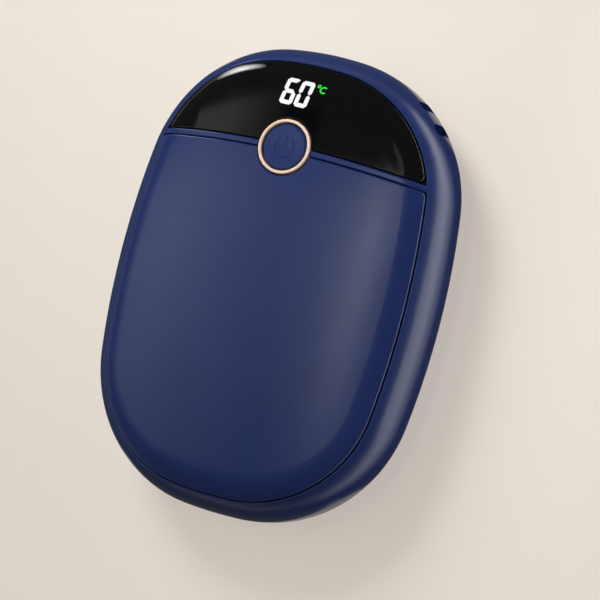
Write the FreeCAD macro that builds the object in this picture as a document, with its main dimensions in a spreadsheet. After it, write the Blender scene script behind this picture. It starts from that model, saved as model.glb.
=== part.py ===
import FreeCAD, Part
import math
import os
import Sketcher
from FreeCAD import Placement, Rotation, Vector

# Rechargeable hand warmer lying on its back: +X right, +Y towards the display, +Z out of the front, in mm.
SIZES = {
    # Housing outline in plan: eight tangent arcs, read from the photo at the stated width
    "body_width": 74.0,
    "body_length": 100.4,
    "body_thick": 27.4,
    "top_arc": 78.0,
    "shoulder_arc": 30.6,
    "shoulder_arc_share": 0.83,
    "side_arc": 185.0,
    "corner_arc": 31.2,
    "corner_arc_share": 0.85,
    "bottom_arc": 107.0,
    # Crowned faces, each by its drop from the middle to the outline, and the rolled edges between them
    "front_across_drop": 6.735,
    "front_along_drop": 2.809,
    "rear_across_drop": 3.134,
    "rear_along_drop": 2.809,
    "rest_depth": 0.6,
    "front_edge": 11.0,
    "rear_edge": 10.2,
    "front_edge_share": 0.405,
    "rear_edge_share": 0.375,
    "crown_sweep_angle": 24.0,
    # Seams and the ledges that the covers and the window sit on
    "seam_inset": 4.0,
    "seam_gap": 0.15,
    "seam_round": 0.3,
    "seam_corner": 1.2,
    "ledge_width": 1.9,
    "ledge_thick": 1.6,
    "front_ledge_drop": 7.8,
    "rear_ledge_rise": 5.6,
    "frame_wall": 2.2,
    "cover_wall": 1.8,
    "lens_wall": 1.6,
    "skirt_wall": 1.2,
    "gasket_thick": 0.3,
    # Cross bar between the window and the front cover
    "window_length": 23.06,
    "bar_width": 1.28,
    "bar_arc": 300.0,
    # Snap hooks of both covers
    "hook_y": 18.0,
    "hook_length": 6.0,
    "hook_wall": 1.1,
    "hook_gap": 0.2,
    "hook_root": 2.0,
    "hook_nose": 0.9,
    "hook_bite": 0.8,
    # Power button, its trim ring and the boss that guides them
    "button_rise": 0.86,
    "ring_radius": 5.85,
    "ring_bore": 5.2,
    "ring_proud": 0.25,
    "ring_round": 0.15,
    "ring_gap": 0.25,
    "hole_chamfer": 0.35,
    "ring_seat": 2.4,
    "ring_sink": 0.15,
    "cap_gap": 0.3,
    "cap_drop": 0.05,
    "cap_round": 0.35,
    "cap_dish": 0.25,
    "cap_hollow": 1.2,
    "boss_plate": 0.9,
    "boss_bore": 6.3,
    "boss_wall": 0.7,
    "guide_clear": 0.05,
    "flange_thick": 0.8,
    "stem_radius": 1.5,
    "button_travel": 0.35,
    # Tact switch
    "switch_width": 4.6,
    "switch_thick": 2.2,
    "plunger_radius": 1.1,
    "plunger_rise": 0.9,
    "plunger_depth": 0.6,
    "well_clear": 0.15,
    # Display board, segment block and diffuser, square to the crown at the button
    "board_depth": 9.2,
    "board_thick": 1.2,
    "display_board_width": 26.0,
    "display_board_low": 6.0,
    "display_board_high": 15.6,
    "board_lug_x": 9.6,
    "board_lug_radius": 2.2,
    "board_lug_rise": 1.8,
    "module_x": 0.9,
    "module_width": 15.6,
    "module_low": 7.2,
    "module_length": 8.2,
    "module_top": 3.8,
    "well_depth": 3.0,
    "segment_length": 2.3,
    "segment_width": 0.62,
    "segment_gap": 0.12,
    "digit_pitch": 3.75,
    "digit_width": 3.0,
    "diffuser_thick": 0.4,
    # Screws
    "screw_radius": 1.0,
    "screw_length": 5.5,
    "screw_head": 1.9,
    "screw_head_thick": 1.1,
    "screw_slot": 0.45,
    "screw_fit": 0.03,
    "screw_clear": 0.2,
    "board_screw_length": 3.6,
    "board_screw_radius": 0.7,
    "board_screw_head": 1.3,
    "board_screw_head_thick": 0.8,
    "screw_point_share": 0.4,
    "screw_head_share": 0.6,
    "screw_face_share": 0.8,
    # Posts of the frame and the chassis screwed to them
    "post_inset": 8.6,
    "post_radius": 2.6,
    "post_rib": 1.6,
    "top_post_angle": 22.0,
    "low_post_angle": 40.0,
    "chassis_inset": 8.6,
    "chassis_thick": 1.6,
    "lug_radius": 2.4,
    "cradle_wall": 1.2,
    "cradle_rise": 6.0,
    "cradle_gap": 0.3,
    "cradle_margin": 3.0,
    "cradle_end_width": 30.0,
    "standoff_radius": 2.0,
    # Battery pack, sized by the room that the housing leaves round it
    "cell_margin": 11.0,
    "cell_end_gap": 3.4,
    "pack_gap": 1.6,
    "pack_clear": 3.3,
    "cell_round": 2.2,
    "cell_round_share": 0.4,
    "tape_thick": 0.3,
    "tape_margin": 4.0,
    "rear_foam_thick": 0.8,
    "front_foam_thick": 1.6,
    "foam_margin": 6.0,
    "guard_width": 30.0,
    "guard_thick": 1.2,
    "guard_rise": 1.0,
    # Heater films glued inside the covers
    "heater_inset": 9.0,
    "heater_glue": 0.1,
    "heater_thick": 0.3,
    "heater_margin": 8.0,
    # Charging port, below the middle of the band, and main board, with places from its front edge and sides
    "port_drop": 0.3,
    "port_width": 8.94,
    "port_tall": 3.26,
    "port_wall": 0.3,
    "port_length": 7.35,
    "port_recess": 0.3,
    "port_gap": 0.15,
    "tongue_width": 6.69,
    "tongue_tall": 0.7,
    "tongue_setback": 0.9,
    "port_back": 1.6,
    "main_thick": 1.6,
    "main_setback": 4.4,
    "main_length": 15.8,
    "main_width": 36.0,
    "main_nose": 18.0,
    "main_taper": 5.0,
    "standoff_x": 2.7,
    "standoff_y": 12.3,
    "front_standoff_x": 7.5,
    "front_standoff_y": 5.6,
    # Parts on the main board
    "connector_width": 5.0,
    "connector_length": 4.5,
    "connector_tall": 4.2,
    "connector_y": 10.2,
    "battery_connector_x": 3.5,
    "heater_connector_x": 3.5,
    "chip_width": 5.0,
    "chip_thick": 0.9,
    "chip_x": 5.6,
    "chip_y": 6.8,
    "coil_width": 4.2,
    "coil_tall": 2.2,
    "coil_round": 0.6,
    # Leads and the display ribbon, with heights above the connectors
    "lead_radius": 0.5,
    "lead_pitch": 2.4,
    "lead_bend": 1.5,
    "lead_high": 2.43,
    "lead_touch": 0.08,
    "front_lead_y": 7.4,
    "front_lead_turn": 2.63,
    "rear_lead_x": 4.5,
    "rear_lead_y": 8.8,
    "lead_slot_gap": 0.6,
    "bead_radius": 0.9,
    "bead_straight_share": 1.5,
    "bead_tall_share": 2.5,
    "bead_lead": 0.25,
    "bead_pitch": 0.8,
    "bead_x": 7.0,
    "ribbon_width": 4.5,
    "ribbon_thick": 0.25,
    "ribbon_x": 10.75,
    "ribbon_bend": 1.2,
    "ribbon_start": 3.4,
    "ribbon_over": 0.3,
    "ribbon_clear": 0.6,
    "ribbon_land_y": 10.3,
    # Lanyard slots on the right shoulder
    "lanyard_angle": 47.0,
    "slot_width": 2.8,
    "slot_length": 7.0,
    "slot_bridge": 3.2,
    "slot_drop": 0.7,
    "slot_depth": 5.2,
    "bridge_depth": 2.0,
    "passage_tall": 3.0,
    "pocket_wall": 1.2,
    # One overrun for every cut that must break through a face
    "overrun": 14.0,
}


class Size:
    """A number that also remembers the sheet expression it came from."""

    def __init__(self, value, text):
        self.value = value
        self.text = text

    def __add__(self, other):
        other = size(other)
        return Size(self.value + other.value, "(%s + %s)" % (self.text, other.text))

    def __sub__(self, other):
        other = size(other)
        return Size(self.value - other.value, "(%s - %s)" % (self.text, other.text))

    def __mul__(self, other):
        other = size(other)
        return Size(self.value * other.value, "(%s * %s)" % (self.text, other.text))

    def __truediv__(self, other):
        other = size(other)
        return Size(self.value / other.value, "(%s / %s)" % (self.text, other.text))

    def __neg__(self):
        return Size(-self.value, "(-1 * %s)" % self.text)

    def root(self):
        return Size(math.sqrt(self.value), "sqrt(%s)" % self.text)

    def least(self, other):
        return Size(min(self.value, other.value), "min(%s; %s)" % (self.text, other.text))


def size(item):
    return item if isinstance(item, Size) else Size(float(item), repr(float(item)))


ZERO = size(0)
# Values closer than this count as the same, and faces that turn more than this cosine meet in a corner
TOUCH = 1e-4
CORNER_COSINE = 0.9
doc = FreeCAD.newDocument("hand_warmer")
sheet = doc.addObject("Spreadsheet::Sheet", "dims")
S = {}
for row, (alias, number) in enumerate(SIZES.items(), start=1):
    sheet.set("A%d" % row, alias)
    sheet.set("B%d" % row, str(number))
    sheet.setAlias("B%d" % row, alias)
    S[alias] = Size(number, "dims." + alias)
doc.recompute()


def bind(item, **properties):
    for key, amount in properties.items():
        item.setExpression(key, size(amount).text)


def place(item, x, y, z):
    bind(item, **{"Placement.Base.x": x, "Placement.Base.y": y, "Placement.Base.z": z})
    return item


def tilt(item, x, y, z):
    """Put an item at a point of the button's own frame, which stands square to the crown."""
    point = Vector(size(x).value, size(y).value, size(z).value)
    item.Placement = BUTTON_FRAME.multiply(Placement(point, Rotation()))
    return item


def box(name, length, width, height):
    item = doc.addObject("Part::Box", name)
    bind(item, Length=length, Width=width, Height=height)
    return item


def centred_box(name, x, y, z, length, width, height):
    """A box by its middle in plan and its lower face."""
    half = size(2)
    return place(box(name, length, width, height), x - length / half, y - width / half, z)


def cylinder(name, radius, height):
    item = doc.addObject("Part::Cylinder", name)
    bind(item, Radius=radius, Height=height)
    return item


def joined(kind, name, items):
    item = doc.addObject(kind, name)
    item.Shapes = list(items)
    return item


def fuse(name, *items):
    return joined("Part::MultiFuse", name, items)


def cut(name, base, *tools):
    item = doc.addObject("Part::Cut", name)
    item.Base = base
    item.Tool = tools[0] if len(tools) == 1 else fuse(name + "_tools", *tools)
    return item


def common(name, *items):
    return joined("Part::MultiCommon", name, items)


def group(name, *items):
    item = doc.addObject("Part::Compound", name)
    item.Links = list(items)
    return item


def rounded(name, base, radius, keep):
    """Round those edges of a finished form that the test keeps."""
    doc.recompute()
    edges = [n for n, edge in enumerate(base.Shape.Edges, start=1) if keep(base.Shape, edge)]
    item = doc.addObject("Part::Fillet", name)
    item.Base = base
    item.Edges = [(n, radius.value, radius.value) for n in edges]
    return item


def origin_plane(body, role):
    return next(item for item in body.Origin.OriginFeatures if item.Role == role)


def sketch_on(body, role, name):
    sketch = body.newObject("Sketcher::SketchObject", name)
    sketch.AttachmentSupport = [(origin_plane(body, role), "")]
    sketch.MapMode = "FlatFace"
    return sketch


def hold(sketch, kind, *refs, amount=None):
    """Add a constraint, tied to the sheet when it carries a size."""
    if amount is None:
        return sketch.addConstraint(Sketcher.Constraint(kind, *refs))
    number = sketch.addConstraint(Sketcher.Constraint(kind, *refs, amount.value))
    sketch.setExpression("Constraints[%d]" % number, amount.text)
    return number


def pin(sketch, geometry, point, x, y):
    """Hold a sketch point at x, y from the origin."""
    for kind, amount in (("DistanceX", x), ("DistanceY", y)):
        if amount.value == 0:
            hold(sketch, "PointOnObject", geometry, point, -2 if kind == "DistanceX" else -1)
        elif amount.value > 0:
            hold(sketch, kind, -1, 1, geometry, point, amount=amount)
        else:
            hold(sketch, kind, geometry, point, -1, 1, amount=-amount)


def polygon(sketch, points):
    """A closed polygon with every corner held by its sizes."""
    corners = [Vector(x.value, y.value, 0) for x, y in points]
    for number, corner in enumerate(corners):
        sketch.addGeometry(Part.LineSegment(corner, corners[(number + 1) % len(corners)]), False)
    for number in range(len(corners)):
        hold(sketch, "Coincident", number, 2, (number + 1) % len(corners), 1)
    for number, (x, y) in enumerate(points):
        pin(sketch, number, 1, x, y)


def revolved(name, points):
    """A turned solid about its own Z, from radius and height pairs."""
    body = doc.addObject("PartDesign::Body", name)
    sketch = sketch_on(body, "XZ_Plane", name + "_profile")
    polygon(sketch, [(size(r), size(z)) for r, z in points])
    turn = body.newObject("PartDesign::Revolution", name + "_turn")
    turn.Profile = sketch
    turn.ReferenceAxis = (sketch, ["V_Axis"])
    turn.Angle = 360.0
    return body


def padded(name, role, points, length):
    body = doc.addObject("PartDesign::Body", name)
    sketch = sketch_on(body, role, name + "_profile")
    polygon(sketch, [(size(x), size(y)) for x, y in points])
    pad = body.newObject("PartDesign::Pad", name + "_pad")
    pad.Profile = sketch
    bind(pad, Length=length)
    return body


def obround(name, width, tall, length):
    """A flat-sided slot form, long across X, padded along -Y from its own XZ plane."""
    body = doc.addObject("PartDesign::Body", name)
    sketch = sketch_on(body, "XZ_Plane", name + "_profile")
    radius = tall / size(2)
    reach = (width - tall) / size(2)
    left, right = Vector(-reach.value, 0, 0), Vector(reach.value, 0, 0)
    up = Vector(0, radius.value, 0)
    normal = Vector(0, 0, 1)
    quarter = math.pi / 2
    sketch.addGeometry(Part.ArcOfCircle(Part.Circle(right, normal, radius.value), -quarter, quarter), False)
    sketch.addGeometry(Part.LineSegment(right + up, left + up), False)
    sketch.addGeometry(Part.ArcOfCircle(Part.Circle(left, normal, radius.value), quarter, 3 * quarter), False)
    sketch.addGeometry(Part.LineSegment(left - up, right - up), False)
    for number in range(4):
        hold(sketch, "Tangent", number, 2, (number + 1) % 4, 1)
    hold(sketch, "Radius", 0, amount=radius)
    pin(sketch, 0, 3, reach, ZERO)
    hold(sketch, "DistanceX", 2, 3, -1, 1, amount=reach)
    pad = body.newObject("PartDesign::Pad", name + "_pad")
    pad.Profile = sketch
    bind(pad, Length=length)
    return body


# Housing outline

def blend_centre(first, first_radius, second, second_radius, radius):
    """Centre of the arc that runs tangent inside two larger arcs, on the right side."""
    near, far = first_radius - radius, second_radius - radius
    across = second - first
    along = (near ** 2 - far ** 2 + across.Length ** 2) / (2 * across.Length)
    rise = math.sqrt(near ** 2 - along ** 2)
    unit = across / across.Length
    side = Vector(-unit.y, unit.x, 0)
    options = [first + unit * along + side * rise, first + unit * along - side * rise]
    return max(options, key=lambda point: point.x)


HALF_LENGTH = S["body_length"] / size(2)
HALF_WIDTH = S["body_width"] / size(2)
MIDDLE = S["body_thick"] / size(2)
SHOULDER_ARC = S["shoulder_arc"].least(HALF_WIDTH * S["shoulder_arc_share"])
CORNER_ARC = S["corner_arc"].least(HALF_WIDTH * S["corner_arc_share"])
TOP = Vector(0, HALF_LENGTH.value - S["top_arc"].value, 0)
BOTTOM = Vector(0, S["bottom_arc"].value - HALF_LENGTH.value, 0)
SIDE = Vector(HALF_WIDTH.value - S["side_arc"].value, 0, 0)
SHOULDER = blend_centre(TOP, S["top_arc"].value, SIDE, S["side_arc"].value, SHOULDER_ARC.value)
CORNER = blend_centre(BOTTOM, S["bottom_arc"].value, SIDE, S["side_arc"].value, CORNER_ARC.value)


def mirrored(point):
    return Vector(-point.x, point.y, point.z)


def heading(vector):
    return math.atan2(vector.y, vector.x)


def outline(body, name, inset):
    """The plan outline, moved inwards by an inset."""
    joins = (CORNER - BOTTOM, CORNER - SIDE, SHOULDER - SIDE, SHOULDER - TOP)
    low, lower, upper, high = (heading(join) for join in joins)
    half_turn = math.pi
    arcs = [
        (BOTTOM, S["bottom_arc"], -half_turn - low, low),
        (CORNER, CORNER_ARC, low, lower),
        (SIDE, S["side_arc"], lower, upper),
        (SHOULDER, SHOULDER_ARC, upper, high),
        (TOP, S["top_arc"], high, half_turn - high),
        (mirrored(SHOULDER), SHOULDER_ARC, half_turn - high, half_turn - upper),
        (mirrored(SIDE), S["side_arc"], half_turn - upper, half_turn - lower),
        (mirrored(CORNER), CORNER_ARC, half_turn - lower, half_turn - low),
    ]
    sketch = sketch_on(body, "XY_Plane", name)
    for centre, radius, start, end in arcs:
        circle = Part.Circle(centre, Vector(0, 0, 1), radius.value - inset.value)
        sketch.addGeometry(Part.ArcOfCircle(circle, start, end), False)
    for number in range(len(arcs)):
        hold(sketch, "Tangent", number, 2, (number + 1) % len(arcs), 1)
    for number, (centre, radius, start, end) in enumerate(arcs):
        hold(sketch, "Radius", number, amount=radius - inset)
    hold(sketch, "PointOnObject", 0, 3, -2)
    hold(sketch, "DistanceY", -1, 1, 0, 3, amount=S["bottom_arc"] - HALF_LENGTH)
    hold(sketch, "PointOnObject", 4, 3, -2)
    hold(sketch, "DistanceY", 4, 3, -1, 1, amount=S["top_arc"] - HALF_LENGTH)
    hold(sketch, "PointOnObject", 2, 3, -1)
    hold(sketch, "DistanceX", 2, 3, -1, 1, amount=S["side_arc"] - HALF_WIDTH)
    hold(sketch, "PointOnObject", 6, 3, -1)
    hold(sketch, "DistanceX", -1, 1, 6, 3, amount=S["side_arc"] - HALF_WIDTH)
    return sketch


def prism(name, inset, low, high):
    """The outline, inset and raised between two heights."""
    body = doc.addObject("PartDesign::Body", name)
    sketch = outline(body, name + "_outline", inset)
    sketch.setExpression("AttachmentOffset.Base.z", low.text)
    pad = body.newObject("PartDesign::Pad", name + "_pad")
    pad.Profile = sketch
    bind(pad, Length=high - low)
    return body


# Pebble forms: the whole body, and copies of it moved inwards by a wall

def crown_radius(half, drop):
    """Radius of the arc that falls by a drop over half its chord."""
    return (half * half + drop * drop) / (drop * size(2))


FRONT_ACROSS = crown_radius(HALF_WIDTH, S["front_across_drop"])
FRONT_ALONG = crown_radius(HALF_LENGTH, S["front_along_drop"])
REAR_ACROSS = crown_radius(HALF_WIDTH, S["rear_across_drop"])
REAR_ALONG = crown_radius(HALF_LENGTH, S["rear_along_drop"])


def crown_cut(body, name, across, along, apex, side):
    """Groove that leaves a face crowned in both directions; side is 1 for the front and -1 for the rear."""
    sketch = sketch_on(body, "XZ_Plane", name + "_profile")
    half = HALF_WIDTH + S["overrun"] / size(4)
    drop = across - (across * across - half * half).root()
    out = apex + S["overrun"] * size(side)
    edge = apex - drop * size(side)
    left, right = Vector(-half.value, edge.value, 0), Vector(half.value, edge.value, 0)
    far_left, far_right = Vector(-half.value, out.value, 0), Vector(half.value, out.value, 0)
    pivot = apex - along * size(side)
    sketch.addGeometry(Part.Arc(left, Vector(0, apex.value, 0), right), False)
    sketch.addGeometry(Part.LineSegment(right, far_right), False)
    sketch.addGeometry(Part.LineSegment(far_right, far_left), False)
    sketch.addGeometry(Part.LineSegment(far_left, left), False)
    pivots = [Vector(side_x, pivot.value, 0) for side_x in (-half.value, half.value)]
    sketch.addGeometry(Part.LineSegment(*pivots), True)
    right_end, left_end = (1, 2) if side > 0 else (2, 1)
    hold(sketch, "Coincident", 0, right_end, 1, 1)
    hold(sketch, "Coincident", 1, 2, 2, 1)
    hold(sketch, "Coincident", 2, 2, 3, 1)
    hold(sketch, "Coincident", 3, 2, 0, left_end)
    hold(sketch, "Vertical", 1)
    hold(sketch, "Vertical", 3)
    pin(sketch, 0, 3, ZERO, apex - across * size(side))
    hold(sketch, "Radius", 0, amount=across)
    pin(sketch, 2, 1, half, out)
    pin(sketch, 2, 2, -half, out)
    pin(sketch, 4, 1, -half, pivot)
    pin(sketch, 4, 2, half, pivot)
    groove = body.newObject("PartDesign::Groove", name)
    groove.Profile = sketch
    groove.ReferenceAxis = (sketch, ["Axis0"])
    bind(groove, Angle=S["crown_sweep_angle"])
    groove.Midplane = True
    return groove


def rim_edges(shape, low, high):
    """Names of the edges of a rim that runs round between two heights."""
    names = []
    for number, edge in enumerate(shape.Edges, start=1):
        low_end, high_end = (edge.valueAt(p).z for p in (edge.FirstParameter, edge.LastParameter))
        middle = edge.valueAt((edge.FirstParameter + edge.LastParameter) / 2).z
        if low < min(low_end, middle, high_end) and max(low_end, middle, high_end) < high:
            names.append("Edge%d" % number)
    return names


def pebble(name, inset):
    body = doc.addObject("PartDesign::Body", name)
    sketch = outline(body, name + "_outline", inset)
    sketch.setExpression("AttachmentOffset.Base.z", inset.text)
    pad = body.newObject("PartDesign::Pad", name + "_pad")
    pad.Profile = sketch
    bind(pad, Length=S["body_thick"] - inset * size(2))
    front_top = S["body_thick"] - inset
    rear_top = inset - S["rest_depth"]
    crown_cut(body, name + "_front", FRONT_ACROSS - inset, FRONT_ALONG - inset, front_top, 1)
    crown_cut(body, name + "_rear", REAR_ACROSS - inset, REAR_ALONG - inset, rear_top, -1)
    doc.recompute()
    middle = MIDDLE.value
    rest = inset.value + S["rest_depth"].value / 2
    edges = (("front", "front_edge", middle, front_top.value), ("rear", "rear_edge", rest, middle))
    for tag, edge, low, high in edges:
        rim = (body.Tip, rim_edges(body.Shape, low, high))
        roll = body.newObject("PartDesign::Fillet", "%s_%s_roll" % (name, tag))
        roll.Base = rim
        bind(roll, Radius=S[edge].least(S["body_thick"] * S[edge + "_share"]) - inset)
        doc.recompute()
    return body


def crown_height(x, y, inset):
    """Height of the front crown, moved inwards by an inset, over a point in plan."""
    across, along = FRONT_ACROSS.value - inset, FRONT_ALONG.value - inset
    reach = along - across + math.sqrt(across ** 2 - x ** 2)
    return S["body_thick"].value - inset - along + math.sqrt(reach ** 2 - y ** 2)


# Heights and radii that several pieces share
FRONT_LEDGE = S["body_thick"] - S["front_ledge_drop"]
REAR_LEDGE = S["rear_ledge_rise"]
FRONT_LEDGE_BACK = FRONT_LEDGE - S["ledge_thick"]
GASKET_TOP = FRONT_LEDGE + S["gasket_thick"]
REAR_LEDGE_BACK = REAR_LEDGE + S["ledge_thick"]
BELOW = -S["overrun"]
ABOVE = S["body_thick"] + S["overrun"]
COVER_INSET = S["seam_inset"] + S["seam_gap"]
SKIRT_INSET = COVER_INSET + S["skirt_wall"]
MOUTH_INSET = S["seam_inset"] + S["ledge_width"]
FILM_UNDER = S["cover_wall"] + S["heater_glue"] + S["heater_thick"]
HOLE_RADIUS = S["ring_radius"] + S["ring_gap"]
BAR_Y = HALF_LENGTH - S["window_length"]
BAR_CENTRE = BAR_Y - S["bar_arc"]
BAR_TOP = S["bar_arc"] + S["bar_width"]
BUTTON_Y = BAR_Y + S["button_rise"]
BUTTON_SLOPE = math.asin(BUTTON_Y.value / FRONT_ALONG.value)
BUTTON_FRAME = Placement(
    Vector(0, BUTTON_Y.value, crown_height(0, BUTTON_Y.value, 0)),
    Rotation(Vector(1, 0, 0), -math.degrees(BUTTON_SLOPE)),
)


def bar_disc(name, radius):
    """Everything in plan on the cover's side of an arc along the cross bar."""
    return place(cylinder(name, radius, ABOVE - BELOW), ZERO, BAR_CENTRE, BELOW)


def button_hole(name, radius, low, high):
    """A round tool along the button's axis between two depths."""
    return tilt(cylinder(name, radius, high - low), ZERO, ZERO, low)


def ring_hole(name):
    """The hole for the trim ring, with a chamfered mouth."""
    return tilt(revolved(name, [
        (ZERO, BELOW), (HOLE_RADIUS, BELOW), (HOLE_RADIUS, -S["hole_chamfer"]),
        (HOLE_RADIUS + S["hole_chamfer"] + S["overrun"], S["overrun"]), (ZERO, S["overrun"]),
    ]), ZERO, ZERO, ZERO)


outer = pebble("outer_form", ZERO)
frame_core = pebble("frame_core_form", S["frame_wall"])
cover_core = pebble("cover_core_form", S["cover_wall"])
lens_core = pebble("lens_core_form", S["lens_wall"])
heater_outer = pebble("heater_outer_form", FILM_UNDER - S["heater_thick"])
heater_inner = pebble("heater_inner_form", FILM_UNDER)

# Side frame: the band round the pebble, hollowed but for its ledges, bar, boss, posts and lanyard pocket

def along_arc(centre, radius, angle):
    turn = math.radians(angle)
    return centre + Vector(math.cos(turn), math.sin(turn), 0) * radius


def post_points():
    """The four post centres as point and outward angle."""
    points = []
    rows = (
        (SHOULDER, SHOULDER_ARC, S["top_post_angle"].value),
        (CORNER, CORNER_ARC, -S["low_post_angle"].value),
    )
    for centre, arc, angle in rows:
        point = along_arc(centre, arc.value - S["post_inset"].value, angle)
        points += [(point, angle), (mirrored(point), 180 - angle)]
    return points


def at_point(item, point, z, angle=0.0):
    item.Placement = Placement(Vector(point.x, point.y, size(z).value), Rotation(Vector(0, 0, 1), angle))
    return item


BOSS_RADIUS = S["boss_bore"] + S["boss_wall"]
BOSS_UNDER = -(S["ring_seat"] + S["boss_plate"])
POSTS = post_points()
PILOT_DEPTH = S["screw_length"] + S["screw_clear"]
hollow = fuse(
    "frame_hollow",
    prism("front_rebate", S["seam_inset"], FRONT_LEDGE, ABOVE),
    prism("rear_rebate", S["seam_inset"], BELOW, REAR_LEDGE),
    prism("mouth", MOUTH_INSET, BELOW, ABOVE),
    common("frame_core", frame_core, centred_box(
        "core_slab", ZERO, ZERO, REAR_LEDGE_BACK,
        S["body_width"], S["body_length"], FRONT_LEDGE_BACK - REAR_LEDGE_BACK)),
)
BOSS_STEP = -(S["ring_seat"] + S["boss_plate"] / size(2))
BOSS_MIDDLE = S["boss_bore"] + S["boss_wall"] / size(2)
BOSS_TOP = S["ring_sink"] - S["ring_seat"]
boss_room = button_hole("boss_room", BOSS_MIDDLE, BELOW, BOSS_STEP)
bar_web = cut(
    "bar_web",
    place(cylinder("bar_web_disc", BAR_TOP, ABOVE - FRONT_LEDGE), ZERO, BAR_CENTRE, FRONT_LEDGE),
    bar_disc("bar_web_inside", S["bar_arc"]), boss_room)
bar_flange = cut(
    "bar_flange",
    place(cylinder("bar_flange_disc", BAR_TOP + S["ledge_width"], S["ledge_thick"]),
          ZERO, BAR_CENTRE, FRONT_LEDGE_BACK),
    bar_disc("bar_flange_inside", S["bar_arc"] - S["ledge_width"]), boss_room)
button_boss = tilt(revolved("button_boss", [
    (ZERO, BOSS_STEP), (S["boss_bore"], BOSS_STEP), (S["boss_bore"], -S["board_depth"]),
    (BOSS_RADIUS, -S["board_depth"]), (BOSS_RADIUS, BOSS_TOP), (ZERO, BOSS_TOP),
]), ZERO, ZERO, ZERO)
ring_shelf = tilt(revolved("ring_shelf", [
    (S["ring_bore"], BOSS_UNDER), (BOSS_MIDDLE, BOSS_UNDER),
    (BOSS_MIDDLE, -S["ring_seat"]), (S["ring_bore"], -S["ring_seat"]),
]), ZERO, ZERO, ZERO)
board_lugs = [
    tilt(cylinder("board_lug_%d" % side, S["board_lug_radius"], S["board_lug_rise"]),
         S["board_lug_x"] * size(side), ZERO, -S["board_depth"])
    for side in (-1, 1)
]
posts = []
for number, (point, angle) in enumerate(POSTS):
    tall = FRONT_LEDGE_BACK - REAR_LEDGE_BACK
    post = at_point(cylinder("post_%d" % number, S["post_radius"], tall), point, REAR_LEDGE_BACK)
    rib = box("post_rib_%d" % number, S["post_inset"], S["post_rib"], tall)
    start = point - along_arc(Vector(), S["post_rib"].value / 2, angle + 90)
    posts += [post, at_point(rib, start, REAR_LEDGE_BACK, angle)]

# Lanyard pocket: two slots through the shoulder, joined behind a bridge
SLOT_PITCH = S["slot_width"] + S["slot_bridge"]
POCKET_DEPTH = S["slot_depth"] + S["pocket_wall"]
POCKET_WIDTH = SLOT_PITCH + S["slot_width"] + S["pocket_wall"] * size(2)
LANYARD = S["lanyard_angle"].value
SLOT_HEIGHT = MIDDLE - S["slot_drop"]


def on_shoulder(item, sideways, depth, z):
    """Turn an item made along Y to face out of the shoulder, and set it sideways, deep and high there."""
    point = along_arc(SHOULDER, SHOULDER_ARC.value - depth.value, LANYARD)
    point = point + along_arc(Vector(), -sideways.value, LANYARD + 90)
    return at_point(item, point, z, LANYARD - 90)


pocket_block = on_shoulder(
    box("pocket_block", POCKET_WIDTH, POCKET_DEPTH, FRONT_LEDGE_BACK - REAR_LEDGE_BACK),
    -POCKET_WIDTH / size(2), POCKET_DEPTH, REAR_LEDGE_BACK)
slots = []
for side in (-1, 1):
    slot = obround("lanyard_slot_%s" % ("left" if side < 0 else "right"), S["slot_length"], S["slot_width"],
                   S["slot_depth"] + S["overrun"])
    on_shoulder(slot, SLOT_PITCH * size(side) / size(2), -S["overrun"], SLOT_HEIGHT)
    slot.Placement = slot.Placement.multiply(Placement(Vector(), Rotation(Vector(0, 1, 0), 90)))
    slots.append(slot)
passage = on_shoulder(
    box("lanyard_passage", SLOT_PITCH, S["slot_depth"] - S["bridge_depth"], S["passage_tall"]),
    -SLOT_PITCH / size(2), S["slot_depth"], SLOT_HEIGHT - S["passage_tall"] / size(2))
solid_hollow = cut(
    "frame_hollow_kept", hollow, bar_web, bar_flange, button_boss, *board_lugs, *posts, pocket_block)
PORT_HEIGHT = MIDDLE - S["port_drop"]
PORT_OPENING = S["port_gap"] * size(2)
port_opening = place(
    obround("port_opening", S["port_width"] + PORT_OPENING, S["port_tall"] + PORT_OPENING,
            S["main_setback"] + S["overrun"]),
    ZERO, S["main_setback"] - HALF_LENGTH, PORT_HEIGHT)
post_pilots = [
    at_point(cylinder("post_pilot_%d" % number, S["screw_radius"] + S["screw_fit"], PILOT_DEPTH),
             point, REAR_LEDGE_BACK)
    for number, (point, angle) in enumerate(POSTS)
]
lug_pilots = [
    tilt(cylinder("lug_pilot_%d" % side, S["board_screw_radius"] + S["screw_fit"], S["board_screw_length"]),
         S["board_lug_x"] * size(side), ZERO, -S["board_depth"])
    for side in (-1, 1)
]
side_frame_blank = cut("side_frame_blank", outer, solid_hollow)


def wall_of(face):
    """Whether a face stands upright, as the seam walls do."""
    u, v = ((a + b) / 2 for a, b in (face.ParameterRange[0:2], face.ParameterRange[2:4]))
    return abs(face.normalAt(u, v).z) < TOUCH


def seam_edge(shape, edge):
    """Whether an edge joins an upright seam wall to a crowned or rolled face, clear of the flat ledges."""
    faces = shape.ancestorsOfType(edge, Part.Face)
    if len(faces) != 2 or wall_of(faces[0]) == wall_of(faces[1]):
        return False
    wall, skin = faces if wall_of(faces[0]) else faces[::-1]
    if skin.Surface.TypeId == "Part::GeomPlane":
        return False
    heights = [vertex.Z for vertex in wall.Vertexes]
    seats = (min(heights) - FRONT_LEDGE.value, min(heights) - GASKET_TOP.value, max(heights) - REAR_LEDGE.value)
    return min(abs(seat) for seat in seats) < TOUCH


side_frame_band = rounded("side_frame_band", side_frame_blank, S["seam_round"], seam_edge)
side_frame = fuse(
    "side_frame",
    cut("side_frame_pierced",
        cut("side_frame_bored", side_frame_band, ring_hole("frame_ring_hole")),
        *slots, passage, port_opening, *post_pilots, *lug_pilots),
    ring_shelf)

# Front cover, window and rear cover: skins cut from the pebble, with a skirt down to the ledge


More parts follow.
